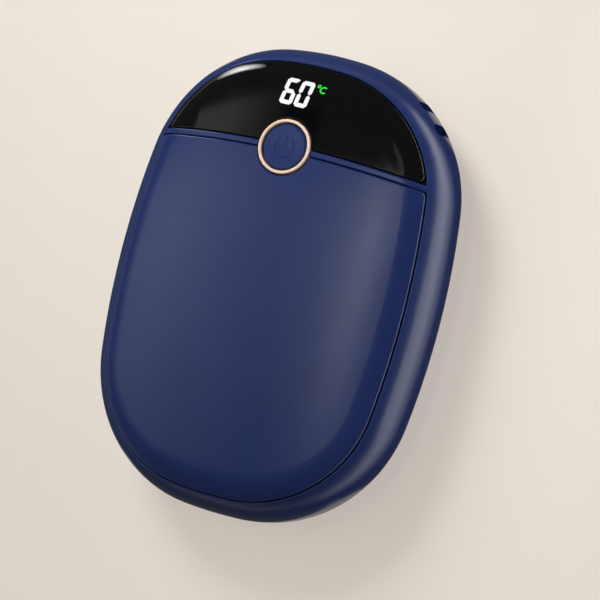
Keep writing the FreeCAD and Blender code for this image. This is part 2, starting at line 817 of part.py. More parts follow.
def snap_hook(name, side, row, facing):
    """A hook on a cover's skirt that bites behind the frame's ledge; facing is 1 for the front cover."""
    ledge = FRONT_LEDGE if facing > 0 else REAR_LEDGE
    far_end = S["hook_y"] + S["hook_length"] / size(2)
    wall = (S["side_arc"] * S["side_arc"] - far_end * far_end).root() - S["side_arc"] + HALF_WIDTH
    outside = wall - MOUTH_INSET - S["hook_gap"]
    inside = outside - S["hook_wall"]
    root = wall - SKIRT_INSET + S["hook_gap"]
    up = size(facing)
    behind = ledge - (S["ledge_thick"] + S["hook_gap"]) * up
    tip = behind - S["hook_nose"] * up
    points = [
        (inside, tip), (outside, tip), (outside + S["hook_bite"] + S["hook_gap"], behind), (outside, behind),
        (outside, ledge), (root, ledge), (root, ledge + S["hook_root"] * up),
        (inside, ledge + S["hook_root"] * up),
    ]
    hook = padded(name, "XZ_Plane", [(x * size(side), z) for x, z in points], S["hook_length"])
    return place(hook, ZERO, S["hook_y"] * size(row) + S["hook_length"] / size(2), ZERO)


def hooks(name, facing):
    return [snap_hook("%s_%d" % (name, number), side, row, facing)
            for number, (side, row) in enumerate(((-1, -1), (-1, 1), (1, -1), (1, 1)))]


def upright_corner(shape, edge):
    """Whether an edge is a sharp upright corner where the cross bar meets the outline."""
    start, end = (edge.valueAt(p) for p in (edge.FirstParameter, edge.LastParameter))
    if abs(start.x - end.x) + abs(start.y - end.y) > TOUCH:
        return False
    faces = shape.ancestorsOfType(edge, Part.Face)
    normals = []
    for face in faces:
        u, v = face.Surface.parameter(start)
        normals.append(face.normalAt(u, v))
    return len(normals) == 2 and normals[0].dot(normals[1]) < CORNER_COSINE


COVER_DISC = S["bar_arc"] - S["seam_gap"]
LENS_DISC = BAR_TOP + S["seam_gap"]


def boss_room_for(name):
    """Room under a skin for the button's boss."""
    return button_hole(name, BOSS_RADIUS + S["ring_gap"], BELOW, S["overrun"])


cover_plan = rounded(
    "cover_plan",
    common("cover_plan_sharp", prism("cover_prism", COVER_INSET, FRONT_LEDGE, ABOVE),
           bar_disc("cover_edge", COVER_DISC)),
    S["seam_corner"], upright_corner)
cover_skin = rounded("cover_skin", common("cover_skin_sharp", outer, cover_plan), S["seam_round"], seam_edge)
cover_cavity = common("cover_cavity", cover_core, fuse(
    "cover_cavity_plan", boss_room_for("cover_boss_room"),
    common("cover_cavity_sharp", prism("cover_cavity_prism", SKIRT_INSET, BELOW, ABOVE),
           bar_disc("cover_cavity_edge", COVER_DISC - S["skirt_wall"]))))
front_cover = fuse(
    "front_cover",
    cut("front_cover_shell", cut("front_cover_skin", cover_skin, cover_cavity), ring_hole("cover_ring_hole")),
    *hooks("front_hook", 1))

lens_plan = rounded(
    "lens_plan",
    cut("lens_plan_sharp", prism("lens_prism", COVER_INSET, GASKET_TOP, ABOVE),
        bar_disc("lens_edge", LENS_DISC)),
    S["seam_corner"], upright_corner)
lens_skin = rounded("lens_skin", common("lens_skin_sharp", outer, lens_plan), S["seam_round"], seam_edge)
lens_cavity = common("lens_cavity", lens_core, fuse(
    "lens_cavity_plan", boss_room_for("lens_boss_room"),
    cut("lens_cavity_sharp", prism("lens_cavity_prism", SKIRT_INSET, BELOW, ABOVE),
        bar_disc("lens_cavity_edge", LENS_DISC + S["skirt_wall"]))))
window_lens = cut("window_lens", cut("lens_shell", lens_skin, lens_cavity), ring_hole("lens_ring_hole"))
window_gasket = cut(
    "window_gasket",
    cut("gasket_plan", prism("gasket_prism", COVER_INSET, FRONT_LEDGE, GASKET_TOP),
        bar_disc("gasket_edge", LENS_DISC)),
    cut("gasket_inside", prism("gasket_inside_prism", SKIRT_INSET, BELOW, ABOVE),
        bar_disc("gasket_inside_edge", LENS_DISC + S["skirt_wall"])),
    boss_room_for("gasket_boss_room"))

rear_skin = rounded(
    "rear_skin", common("rear_skin_sharp", outer, prism("rear_prism", COVER_INSET, BELOW, REAR_LEDGE)),
    S["seam_round"], seam_edge)
rear_cavity = common("rear_cavity", cover_core, prism("rear_cavity_prism", SKIRT_INSET, BELOW, ABOVE))
rear_cover = fuse("rear_cover", cut("rear_cover_shell", rear_skin, rear_cavity), *hooks("rear_hook", -1))

# Power button group, turned about the button's axis
CAP_RADIUS = S["ring_bore"] - S["cap_gap"]
FLANGE_TOP = BOSS_UNDER - S["guide_clear"]
FLANGE_UNDER = FLANGE_TOP - S["flange_thick"]
PLUNGER_TOP = S["switch_thick"] + S["plunger_rise"] - S["board_depth"]
button_ring = tilt(revolved("button_ring", [
    (S["ring_bore"], -S["ring_seat"]),
    (S["ring_radius"], -S["ring_seat"]),
    (S["ring_radius"], S["ring_proud"] - S["ring_round"]),
    (S["ring_radius"] - S["ring_round"], S["ring_proud"]),
    (S["ring_bore"] + S["ring_round"], S["ring_proud"]),
    (S["ring_bore"], S["ring_proud"] - S["ring_round"]),
]), ZERO, ZERO, ZERO)
power_button = tilt(revolved("power_button", [
    (ZERO, PLUNGER_TOP + S["guide_clear"]),
    (S["stem_radius"], PLUNGER_TOP + S["guide_clear"]),
    (S["stem_radius"], -S["cap_hollow"] - S["cap_drop"]),
    (CAP_RADIUS - S["boss_wall"], -S["cap_hollow"] - S["cap_drop"]),
    (CAP_RADIUS - S["boss_wall"], FLANGE_UNDER),
    (S["boss_bore"] - S["guide_clear"], FLANGE_UNDER),
    (S["boss_bore"] - S["guide_clear"], FLANGE_TOP),
    (CAP_RADIUS, FLANGE_TOP),
    (CAP_RADIUS, -S["cap_drop"] - S["cap_round"]),
    (CAP_RADIUS - S["cap_round"], -S["cap_drop"]),
    (CAP_RADIUS - S["cap_round"] - S["cap_round"], -S["cap_drop"]),
    (ZERO, -S["cap_drop"] - S["cap_dish"]),
]), ZERO, ZERO, ZERO)

SWITCH_TOP = S["switch_thick"] - S["board_depth"]
SWITCH_WELL = S["plunger_depth"] + S["button_travel"] + S["well_clear"]
half_switch = S["switch_width"] / size(2)
switch_body = cut(
    "switch_body",
    tilt(box("switch_block", S["switch_width"], S["switch_width"], S["switch_thick"]),
         -half_switch, -half_switch, -S["board_depth"]),
    button_hole("switch_well_bore", S["plunger_radius"] + S["guide_clear"],
                SWITCH_TOP - SWITCH_WELL, S["overrun"]))
switch_plunger = button_hole(
    "switch_plunger", S["plunger_radius"], SWITCH_TOP - S["plunger_depth"], PLUNGER_TOP)

# Display board and the segment block under the window
board_blank = tilt(
    box("display_board_blank", S["display_board_width"],
        S["display_board_low"] + S["display_board_high"], S["board_thick"]),
    -S["display_board_width"] / size(2), -S["display_board_low"], -S["board_depth"] - S["board_thick"])
board_holes = [
    tilt(cylinder("display_board_hole_%d" % side, S["board_screw_radius"] + S["screw_clear"], S["overrun"]),
         S["board_lug_x"] * size(side), ZERO, -S["overrun"])
    for side in (-1, 1)
]
display_board = cut("display_board", board_blank, *board_holes)
MODULE_TALL = S["board_depth"] - S["module_top"]
module_blank = tilt(
    box("module_blank", S["module_width"], S["module_length"], MODULE_TALL),
    S["module_x"] - S["module_width"] / size(2), S["module_low"], -S["board_depth"])
module_middle = S["module_low"] + S["module_length"] / size(2)


def segment_wells():
    """Light wells of two seven-segment digits, sunk into the top of the block."""
    long, thin = S["segment_length"], S["segment_width"]
    wells = []
    for digit in (-1, 1):
        middle = S["module_x"] - thin * size(2) + S["digit_pitch"] * size(digit) / size(2)
        gap = S["segment_gap"] * size(2)
        across = S["digit_width"] - thin * size(2) - gap
        out, up = (S["digit_width"] - thin) / size(2), long / size(2)
        bars = [(ZERO, long * size(level), across, thin) for level in (-1, 0, 1)]
        sides = [(out * size(side), up * size(level), thin, long - thin - gap)
                 for side in (-1, 1) for level in (-1, 1)]
        for number, (x, y, width, length) in enumerate(bars + sides):
            label = "well_%s_%d" % ("left" if digit < 0 else "right", number)
            well = box(label, width, length, S["well_depth"] + S["overrun"])
            tilt(well, middle + x - width / size(2), module_middle + y - length / size(2),
                 -S["module_top"] - S["well_depth"])
            wells.append(well)
    return wells


display_module = cut("display_module", module_blank, *segment_wells())
display_diffuser = tilt(
    box("display_diffuser", S["module_width"], S["module_length"], S["diffuser_thick"]),
    S["module_x"] - S["module_width"] / size(2), S["module_low"], -S["module_top"])


def screw(name, radius, length, head, head_thick):
    """A pan-head screw with its seat at zero and its point up, slotted across the head."""
    blank = revolved(name + "_blank", [
        (ZERO, length), (radius * S["screw_point_share"], length), (radius, length - radius), (radius, ZERO),
        (head, ZERO), (head, -head_thick * S["screw_head_share"]), (head * S["screw_face_share"], -head_thick),
        (ZERO, -head_thick),
    ])
    slot = centred_box(
        name + "_slot", ZERO, ZERO, -head_thick - S["overrun"],
        head * size(2) + S["overrun"], S["screw_slot"], S["screw_slot"] + S["overrun"])
    return cut(name, blank, slot)


# Chassis: a plate screwed up against the posts, with a cradle for the cells and standoffs for the main board
PLATE_TOP = REAR_LEDGE_BACK
PLATE_UNDER = PLATE_TOP - S["chassis_thick"]
MAIN_FRONT = S["main_setback"] - HALF_LENGTH
HALF_MAIN = S["main_width"] / size(2)
CELL_END = BUTTON_Y - S["display_board_low"] - S["cell_end_gap"]
PACK_END = MAIN_FRONT + S["main_length"] + S["pack_gap"]
CELL_WIDTH = S["body_width"] - S["cell_margin"] * size(2)
CELL_LENGTH = CELL_END - PACK_END
CELL_MIDDLE = (CELL_END + PACK_END) / size(2)
half_cell = CELL_WIDTH / size(2)
BOARD_TOP = PORT_HEIGHT - S["port_tall"] / size(2)
BOARD_UNDER = BOARD_TOP - S["main_thick"]
STANDOFFS = [((HALF_MAIN - S[x]) * size(side), MAIN_FRONT + S[y]) for side in (-1, 1)
             for x, y in (("standoff_x", "standoff_y"), ("front_standoff_x", "front_standoff_y"))]
REAR_LEAD_X = HALF_MAIN - S["rear_lead_x"]
REAR_LEAD_Y = MAIN_FRONT + S["rear_lead_y"]
chassis_lugs = [
    at_point(cylinder("chassis_lug_%d" % number, S["lug_radius"], S["chassis_thick"]), point, PLATE_UNDER)
    for number, (point, angle) in enumerate(POSTS)
]
standoffs = [
    place(cylinder("standoff_%d" % number, S["standoff_radius"], BOARD_UNDER - PLATE_UNDER), x, y, PLATE_UNDER)
    for number, (x, y) in enumerate(STANDOFFS)
]
cradle_sides = [
    centred_box(
        "cradle_side_%d" % side, (half_cell + S["cradle_gap"] + S["cradle_wall"] / size(2)) * size(side),
        CELL_MIDDLE, PLATE_UNDER, S["cradle_wall"], CELL_LENGTH - S["cradle_margin"] * size(2),
        S["chassis_thick"] + S["cradle_rise"])
    for side in (-1, 1)
]
cradle_end = centred_box(
    "cradle_end", ZERO, CELL_END + S["cradle_gap"] + S["cradle_wall"] / size(2), PLATE_UNDER,
    S["cradle_end_width"], S["cradle_wall"], S["chassis_thick"] + S["cradle_rise"])
lug_holes = [
    at_point(cylinder("lug_hole_%d" % number, S["screw_radius"] + S["screw_clear"], S["overrun"]), point, ZERO)
    for number, (point, angle) in enumerate(POSTS)
]
standoff_pilots = [
    place(cylinder("standoff_pilot_%d" % number, S["board_screw_radius"] + S["screw_fit"], S["overrun"]),
          x, y, BELOW + BOARD_TOP)
    for number, (x, y) in enumerate(STANDOFFS)
]
lead_slot = centred_box(
    "lead_slot", (REAR_LEAD_X + S["bead_x"]) / size(2), REAR_LEAD_Y, ZERO,
    REAR_LEAD_X - S["bead_x"] + S["lead_pitch"] + S["lead_slot_gap"] * size(2),
    (S["lead_slot_gap"] + S["lead_radius"]) * size(2), PLATE_TOP)
battery_chassis = cut(
    "battery_chassis",
    fuse("chassis_solid", prism("chassis_plate", S["chassis_inset"], PLATE_UNDER, PLATE_TOP),
         *chassis_lugs, *standoffs, *cradle_sides, cradle_end),
    *lug_holes, *standoff_pilots, lead_slot)
chassis_screws = group("chassis_screws", *[
    at_point(screw("chassis_screw_%d" % number, S["screw_radius"], S["screw_length"],
                   S["screw_head"], S["screw_head_thick"]), point, PLATE_UNDER)
    for number, (point, angle) in enumerate(POSTS)
])

# Battery pack: two pouch cells taped together, foam pads and the guard board on their lower end


def long_edge(shape, edge):
    """Whether an edge of a cell runs along its length."""
    box_of = edge.BoundBox
    return max(box_of.XLength, box_of.ZLength) < TOUCH


def cell(name, low):
    blank = centred_box(name + "_blank", ZERO, CELL_MIDDLE, low, CELL_WIDTH, CELL_LENGTH, CELL_THICK)
    return rounded(name, blank, S["cell_round"].least(CELL_THICK * S["cell_round_share"]), long_edge)


REAR_CELL = PLATE_TOP + S["rear_foam_thick"]
PACK_ROOM = S["body_thick"] - FILM_UNDER - S["pack_clear"] - S["front_foam_thick"] - REAR_CELL
CELL_THICK = (PACK_ROOM - S["tape_thick"]) / size(2)
FRONT_CELL = REAR_CELL + CELL_THICK + S["tape_thick"]
PACK_TOP = FRONT_CELL + CELL_THICK
foam_width = CELL_WIDTH - S["foam_margin"] * size(2)
foam_length = CELL_LENGTH - S["foam_margin"] * size(2)
rear_foam = centred_box(
    "rear_foam", ZERO, CELL_MIDDLE, PLATE_TOP, foam_width, foam_length, S["rear_foam_thick"])
battery_cell_rear = cell("battery_cell_rear", REAR_CELL)
cell_tape = centred_box(
    "cell_tape", ZERO, CELL_MIDDLE, REAR_CELL + CELL_THICK, CELL_WIDTH - S["tape_margin"] * size(2),
    CELL_LENGTH - S["tape_margin"] * size(2), S["tape_thick"])
battery_cell_front = cell("battery_cell_front", FRONT_CELL)
front_foam_low = S["ribbon_width"] / size(2) - S["ribbon_x"] + S["foam_margin"] / size(4)
front_foam = place(
    box("front_foam", half_cell - S["foam_margin"] - front_foam_low, foam_length, S["front_foam_thick"]),
    front_foam_low, CELL_MIDDLE - foam_length / size(2), PACK_TOP)
cell_guard = centred_box(
    "cell_guard", ZERO, PACK_END - S["guard_thick"] / size(2), REAR_CELL + S["guard_rise"],
    S["guard_width"], S["guard_thick"], PACK_TOP - REAR_CELL - S["guard_rise"] * size(2))

# Heater films, each a thin shell that follows the inside of its cover
film = cut("heater_film", heater_outer, heater_inner)
front_heater = common(
    "front_heater", film, prism("front_heater_prism", S["heater_inset"], MIDDLE, ABOVE),
    bar_disc("front_heater_edge", S["bar_arc"] - S["heater_margin"]))
rear_heater = common("rear_heater", film, prism("rear_heater_prism", S["heater_inset"], BELOW, MIDDLE))

# Charging port and main board
PORT_FACE = S["port_recess"] - HALF_LENGTH
MOUTH_WIDTH = S["port_width"] - S["port_wall"] * size(2)
MOUTH_TALL = S["port_tall"] - S["port_wall"] * size(2)
usb_c_shell = cut(
    "usb_c_shell",
    place(obround("port_tube", S["port_width"], S["port_tall"], S["port_length"]),
          ZERO, PORT_FACE + S["port_length"], PORT_HEIGHT),
    place(obround("port_mouth", MOUTH_WIDTH, MOUTH_TALL, S["port_length"] + S["overrun"]),
          ZERO, PORT_FACE + S["port_length"], PORT_HEIGHT))
tongue_length = S["port_length"] - S["tongue_setback"]
usb_c_tongue = fuse(
    "usb_c_tongue",
    place(obround("port_back_block", MOUTH_WIDTH, MOUTH_TALL, S["port_back"]),
          ZERO, PORT_FACE + S["port_length"], PORT_HEIGHT),
    centred_box("port_tongue", ZERO, PORT_FACE + S["tongue_setback"] + tongue_length / size(2),
                PORT_HEIGHT - S["tongue_tall"] / size(2), S["tongue_width"], tongue_length, S["tongue_tall"]))
half_nose = S["main_nose"] / size(2)
main_blank = place(padded("main_board_blank", "XY_Plane", [
    (-half_nose, MAIN_FRONT), (half_nose, MAIN_FRONT), (HALF_MAIN, MAIN_FRONT + S["main_taper"]),
    (HALF_MAIN, MAIN_FRONT + S["main_length"]), (-HALF_MAIN, MAIN_FRONT + S["main_length"]),
    (-HALF_MAIN, MAIN_FRONT + S["main_taper"]),
], S["main_thick"]), ZERO, ZERO, BOARD_UNDER)
main_board = cut("main_board", main_blank, *[
    place(cylinder("main_hole_%d" % number, S["board_screw_radius"] + S["screw_clear"], S["overrun"]),
          x, y, BOARD_UNDER - S["main_thick"])
    for number, (x, y) in enumerate(STANDOFFS)
])


def turned_screw(name, frame):
    """A board screw set in a frame of its own, with its seat at the frame's origin."""
    item = screw(name, S["board_screw_radius"], S["board_screw_length"],
                 S["board_screw_head"], S["board_screw_head_thick"])
    item.Placement = frame
    return item


down = Rotation(Vector(1, 0, 0), 180)
main_screw_frames = [Placement(Vector(x.value, y.value, BOARD_TOP.value), down) for x, y in STANDOFFS]
display_seat = -S["board_depth"].value - S["board_thick"].value
display_screw_frames = [
    BUTTON_FRAME.multiply(Placement(Vector(S["board_lug_x"].value * side, 0, display_seat), Rotation()))
    for side in (-1, 1)
]
board_screws = group("board_screws", *[
    turned_screw("board_screw_%d" % number, frame)
    for number, frame in enumerate(main_screw_frames + display_screw_frames)
])
CONNECTOR_Y = MAIN_FRONT + S["connector_y"] + S["connector_length"] / size(2)
battery_connector = centred_box(
    "battery_connector", -S["battery_connector_x"], CONNECTOR_Y, BOARD_TOP,
    S["connector_width"], S["connector_length"], S["connector_tall"])
heater_connector = centred_box(
    "heater_connector", S["heater_connector_x"], CONNECTOR_Y, BOARD_TOP,
    S["connector_width"], S["connector_length"], S["connector_tall"])
CHIP_Y = MAIN_FRONT + S["chip_y"]
control_chip = centred_box(
    "control_chip", S["chip_x"], CHIP_Y, BOARD_TOP, S["chip_width"], S["chip_width"], S["chip_thick"])


def upright_edge(shape, edge):
    box_of = edge.BoundBox
    return max(box_of.XLength, box_of.YLength) < TOUCH


power_coil = rounded(
    "power_coil",
    centred_box("coil_blank", -S["chip_x"], CHIP_Y, BOARD_TOP,
                S["coil_width"], S["coil_width"], S["coil_tall"]),
    S["coil_round"], upright_edge)

# Leads and ribbon, swept along routes with rounded turns


def route(points, bend):
    """A wire through the points with every turn rounded to the bend radius."""
    edges = []
    start = points[0]
    for before, corner, after in zip(points, points[1:], points[2:]):
        inward, outward = (before - corner).normalize(), (after - corner).normalize()
        half = math.acos(max(-1.0, min(1.0, inward.dot(outward)))) / 2
        trim = bend / math.tan(half)
        first, last = corner + inward * trim, corner + outward * trim
        middle_way = (inward + outward).normalize()
        peak = corner + middle_way * (bend / math.sin(half) - bend)
        edges.append(Part.LineSegment(start, first).toShape())
        edges.append(Part.Arc(first, peak, last).toShape())
        start = last
    edges.append(Part.LineSegment(start, points[-1]).toShape())
    return Part.Wire(edges)


def swept(name, items):
    """One feature from swept solids."""
    item = doc.addObject("Part::Feature", name)
    item.Shape = items[0] if len(items) == 1 else Part.makeCompound(items)
    return item


def lead(points, bend):
    path = route(points, bend)
    heading_out = (points[1] - points[0]).normalize()
    ring = Part.Wire([Part.Circle(points[0], heading_out, S["lead_radius"].value).toShape()])
    return path.makePipeShell([ring], True, True)


PLUG_TOP = (BOARD_TOP + S["connector_tall"]).value
PLUG_Y = CONNECTOR_Y.value
bend = S["lead_bend"].value
half_pitch = S["lead_pitch"].value / 2


def battery_lead(side):
    x = -S["battery_connector_x"].value + half_pitch * side
    high = PLUG_TOP + S["lead_high"].value
    start = PACK_END.value - S["guard_thick"].value
    return lead([Vector(x, start, high), Vector(x, PLUG_Y, high), Vector(x, PLUG_Y, PLUG_TOP)], bend)


def front_heater_lead(side):
    x = S["heater_connector_x"].value + half_pitch * side
    y = MAIN_FRONT.value + S["front_lead_y"].value
    turn = PLUG_TOP + S["front_lead_turn"].value
    head = crown_height(x, y - S["lead_radius"].value, FILM_INSIDE)
    points = [Vector(x, y, head), Vector(x, y, turn), Vector(x, PLUG_Y, turn), Vector(x, PLUG_Y, PLUG_TOP)]
    return lead(points, bend)


def rear_height(x, y, inset):
    """Height of the rear crown, moved inwards by an inset, with its flat."""
    across, along = REAR_ACROSS.value - inset, REAR_ALONG.value - inset
    reach = along - across + math.sqrt(across ** 2 - x ** 2)
    return max(inset, inset - S["rest_depth"].value + along - math.sqrt(reach ** 2 - y ** 2))


FILM_INSIDE = FILM_UNDER.value + S["lead_touch"].value


def upright_lead(x, radius, foot):
    """A straight lead from a foot near the rear film up to the main board."""
    return Part.makeCylinder(radius, BOARD_UNDER.value - foot, Vector(x, REAR_LEAD_Y.value, foot))


def rear_heater_lead(side):
    x = REAR_LEAD_X.value + half_pitch * side
    radius = S["lead_radius"].value
    return upright_lead(x, radius, rear_height(abs(x) + radius, REAR_LEAD_Y.value - radius, FILM_INSIDE))


def thermistor_bead():
    """A dipped bead on the rear film with its two thin legs, as a turned drop."""
    x, y, radius = S["bead_x"].value, REAR_LEAD_Y.value, S["bead_radius"].value
    foot = rear_height(x + radius, y - radius, FILM_INSIDE)
    half, wide = S["bead_radius"] / size(2), S["bead_radius"]
    straight, tall = (S["bead_radius"] * S[share] for share in ("bead_straight_share", "bead_tall_share"))
    drop = revolved("thermistor_drop", [
        (ZERO, ZERO), (half, ZERO), (wide, half), (wide, straight), (half, tall), (ZERO, tall),
    ])
    at_point(drop, Vector(x, y, 0), foot)
    legs = []
    for side in (-1, 1):
        leg = cylinder("thermistor_leg_%d" % side, S["bead_lead"], BOARD_UNDER - size(foot + radius))
        legs.append(at_point(leg, Vector(x + S["bead_pitch"].value / 2 * side, y, 0), foot + radius))
    return fuse("thermistor", drop, *legs)


def ribbon():
    """The flat display cable: off the display board, over the cells and down on to the main board."""
    x, thick, width = -S["ribbon_x"].value, S["ribbon_thick"].value, S["ribbon_width"].value
    on_board = thick / 2 - S["board_depth"].value
    start = BUTTON_FRAME.multVec(Vector(x, -S["ribbon_start"].value, on_board))
    edge = BUTTON_FRAME.multVec(Vector(x, -S["display_board_low"].value - S["ribbon_over"].value, on_board))
    over = PACK_TOP.value + thick
    lift = Vector(x, CELL_END.value + S["ribbon_over"].value * 2, over)
    fall = PACK_END.value - S["guard_thick"].value - S["ribbon_clear"].value
    drop = Vector(x, fall, over)
    landing = BOARD_TOP.value + thick / 2
    foot = Vector(x, fall, landing)
    end = Vector(x, MAIN_FRONT.value + S["ribbon_land_y"].value, landing)
    path = route([start, edge, lift, drop, foot, end], S["ribbon_bend"].value)
    side = Vector(width / 2, 0, 0)
    up = (edge - start).normalize().cross(Vector(1, 0, 0)) * (thick / 2)
    corners = [start + side + up, start - side + up, start - side - up, start + side - up]
    return path.makePipeShell([Part.makePolygon(corners + corners[:1])], True, False)


battery_lead_red = swept("battery_lead_red", [battery_lead(-1)])
battery_lead_black = swept("battery_lead_black", [battery_lead(1)])
front_heater_leads = swept("front_heater_leads", [front_heater_lead(-1), front_heater_lead(1)])
rear_heater_leads = swept("rear_heater_leads", [rear_heater_lead(-1), rear_heater_lead(1)])
thermistor = thermistor_bead()
display_ribbon = swept("display_ribbon", [ribbon()])

NODES = [
    side_frame, front_cover, rear_cover, window_lens, window_gasket, button_ring, power_button, switch_body,
    switch_plunger, display_board, display_module, display_diffuser, board_screws, battery_chassis,
    chassis_screws, rear_foam, battery_cell_rear, cell_tape, battery_cell_front, front_foam, cell_guard,
    front_heater, rear_heater, main_board, control_chip, power_coil, battery_connector, heater_connector,
    usb_c_shell, usb_c_tongue, battery_lead_red, battery_lead_black, front_heater_leads, rear_heater_leads,
    thermistor, display_ribbon,
]

doc.recompute()
for item in doc.Objects:
    if "Invalid" in item.State or "Error" in item.State:
        raise RuntimeError("%s did not recompute: %s" % (item.Name, item.State))
os.makedirs("parts", exist_ok=True)
for node in NODES:
    if node.Shape.isNull() or not node.Shape.isValid():
        raise RuntimeError("%s has no valid shape" % node.Name)
    solids = node.Shape.Solids
    shape = solids[0] if len(solids) == 1 else Part.makeCompound(solids)
    shape.exportStep("parts/%s.step" % node.Name)
    print(node.Name, len(solids), round(shape.Volume, 1))
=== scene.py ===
import math

import bmesh
import bpy
from mathutils import Matrix, Quaternion, Vector
from mathutils.bvhtree import BVHTree


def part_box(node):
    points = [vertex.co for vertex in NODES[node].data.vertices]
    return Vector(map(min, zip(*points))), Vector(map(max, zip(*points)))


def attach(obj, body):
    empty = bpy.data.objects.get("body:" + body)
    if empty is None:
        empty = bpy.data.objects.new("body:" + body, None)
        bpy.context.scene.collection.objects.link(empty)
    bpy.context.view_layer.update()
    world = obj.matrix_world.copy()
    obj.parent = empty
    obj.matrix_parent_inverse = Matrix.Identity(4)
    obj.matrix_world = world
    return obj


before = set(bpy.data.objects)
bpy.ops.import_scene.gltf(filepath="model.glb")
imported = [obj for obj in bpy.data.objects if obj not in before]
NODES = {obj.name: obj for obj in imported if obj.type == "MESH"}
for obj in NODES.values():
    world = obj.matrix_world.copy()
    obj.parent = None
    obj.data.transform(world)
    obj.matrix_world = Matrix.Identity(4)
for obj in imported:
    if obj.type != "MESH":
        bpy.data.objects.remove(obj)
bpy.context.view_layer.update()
MM = 0.001
UP = Vector((0, 0, 1))
FULL_TURN = 360
QUARTER_TURN = 90


# Shader nodes

PATTERN_RANGE = (0.3, 0.7)


def node(tree, kind, **values):
    """A shader node with its inputs and settings."""
    item = tree.nodes.new(kind)
    for key, value in values.items():
        if key in item.inputs:
            item.inputs[key].default_value = value
        else:
            setattr(item, key, value)
    return item


def maths(tree, operation, first, second):
    """A linked value joined by an operation with a second one, linked or constant."""
    item = node(tree, "ShaderNodeMath", operation=operation)
    tree.links.new(first, item.inputs[0])
    if isinstance(second, bpy.types.NodeSocket):
        tree.links.new(second, item.inputs[1])
    else:
        item.inputs[1].default_value = second
    return item.outputs["Value"]


def ramp(tree, source, ends, values):
    """A linked value taken from one range to another."""
    limits = dict(zip(("From Min", "From Max", "To Min", "To Max"), (*ends, *values)))
    item = node(tree, "ShaderNodeMapRange", **limits)
    tree.links.new(source, item.inputs["Value"])
    return item.outputs["Result"]


def place_of(tree, stretch=(1, 1, 1), origin=(0, 0, 0)):
    """Object coordinates, moved to an origin and stretched."""
    coordinates = node(tree, "ShaderNodeTexCoord")
    shift = [-place * scale for place, scale in zip(origin, stretch)]
    mapping = node(tree, "ShaderNodeMapping", Location=shift, Scale=stretch)
    tree.links.new(coordinates.outputs["Object"], mapping.inputs["Vector"])
    return mapping.outputs["Vector"]


def grain(tree, millimetres, stretch=(1, 1, 1), detail=3.0):
    """Noise whose features have a size in millimetres."""
    noise = node(tree, "ShaderNodeTexNoise", Scale=1 / (millimetres * MM), Detail=detail)
    tree.links.new(place_of(tree, stretch), noise.inputs["Vector"])
    return noise.outputs["Fac"]


def wave(tree, millimetres, distortion, origin=(0, 0, 0), **settings):
    """Even waves with a scale in millimetres, about three waves to each."""
    item = node(tree, "ShaderNodeTexWave", Scale=1 / (millimetres * MM), Distortion=distortion, **settings)
    tree.links.new(place_of(tree, origin=origin), item.inputs["Vector"])
    return item.outputs["Fac"]


def shade(colour, share):
    """A colour made darker or lighter."""
    return [min(1.0, channel * share) for channel in colour]


def tint(tree, source, first, second):
    """Colour between two, by a pattern."""
    mix = node(tree, "ShaderNodeMix", data_type="RGBA")
    colours = [socket for socket in mix.inputs if socket.type == "RGBA"]
    colours[0].default_value = (*first, 1)
    colours[1].default_value = (*second, 1)
    tree.links.new(ramp(tree, source, PATTERN_RANGE, (0, 1)), mix.inputs["Factor"])
    return next(socket for socket in mix.outputs if socket.type == "RGBA")


# Materials, with their pattern sizes and depths in millimetres

def material(name, **sockets):
    """A material with its shader's constant sockets set, as material, tree and shader."""
    made = bpy.data.materials.new(name)
    made.use_nodes = True
    shader = made.node_tree.nodes["Principled BSDF"]
    for key, value in sockets.items():
        shader.inputs[key.replace("_", " ")].default_value = value
    return made, made.node_tree, shader


def drift(tree, shader, source, colour, shares, socket="Base Color"):
    """A colour of the shader that goes between two shades, by a pattern."""
    first, second = (shade(colour, share) for share in shares)
    tree.links.new(tint(tree, source, first, second), shader.inputs[socket])


def patches(tree, shader, source, low, high):
    """Roughness that goes between two values, by a pattern."""
    tree.links.new(ramp(tree, source, PATTERN_RANGE, (low, high)), shader.inputs["Roughness"])


def relief(tree, shader, source, depth):
    """A pattern raised by bump."""
    bump = node(tree, "ShaderNodeBump", Distance=depth * MM)
    tree.links.new(source, bump.inputs["Height"])
    tree.links.new(bump.outputs["Normal"], shader.inputs["Normal"])


def moulded(name, colour, roughness, grain_size=0.35, depth=0.0012, tone=0.06, gloss=0.04,
            drift_size=14.0, patch_size=3.0, **sockets):
    """Moulded plastic: fine spark texture, a slow drift of colour and patches of gloss."""
    made, tree, shader = material(name, **sockets)
    drift(tree, shader, grain(tree, drift_size), colour, (1 - tone, 1 + tone))
    patches(tree, shader, grain(tree, patch_size), roughness - gloss, roughness + gloss)
    relief(tree, shader, grain(tree, grain_size), depth)
    return made


def turned_metal(name, colour, low, high, centre, ring_scale, depth=0.0006, distortion=0.6,
                 shares=(0.95, 1.04), drift_size=1.5, patch_size=0.6, **sockets):
    """Metal with the fine rings that turning leaves round an axis, and roughness from low to high."""
    made, tree, shader = material(name, **sockets)
    drift(tree, shader, grain(tree, drift_size), colour, shares)
    patches(tree, shader, grain(tree, patch_size), low, high)
    rings = wave(tree, ring_scale, distortion, centre, wave_type="RINGS", rings_direction="Z")
    relief(tree, shader, rings, depth)
    return made


def brushed_metal(name, colour, low, high, stretch, depth=0.002, streak_size=0.3, shares=(0.88, 1.08)):
    """Rolled or plated metal with streaks along one direction, and roughness from low to high."""
    made, tree, shader = material(name, Metallic=1)
    streak = grain(tree, streak_size, stretch)
    drift(tree, shader, streak, colour, shares)
    patches(tree, shader, streak, low, high)
    relief(tree, shader, streak, depth)
    return made


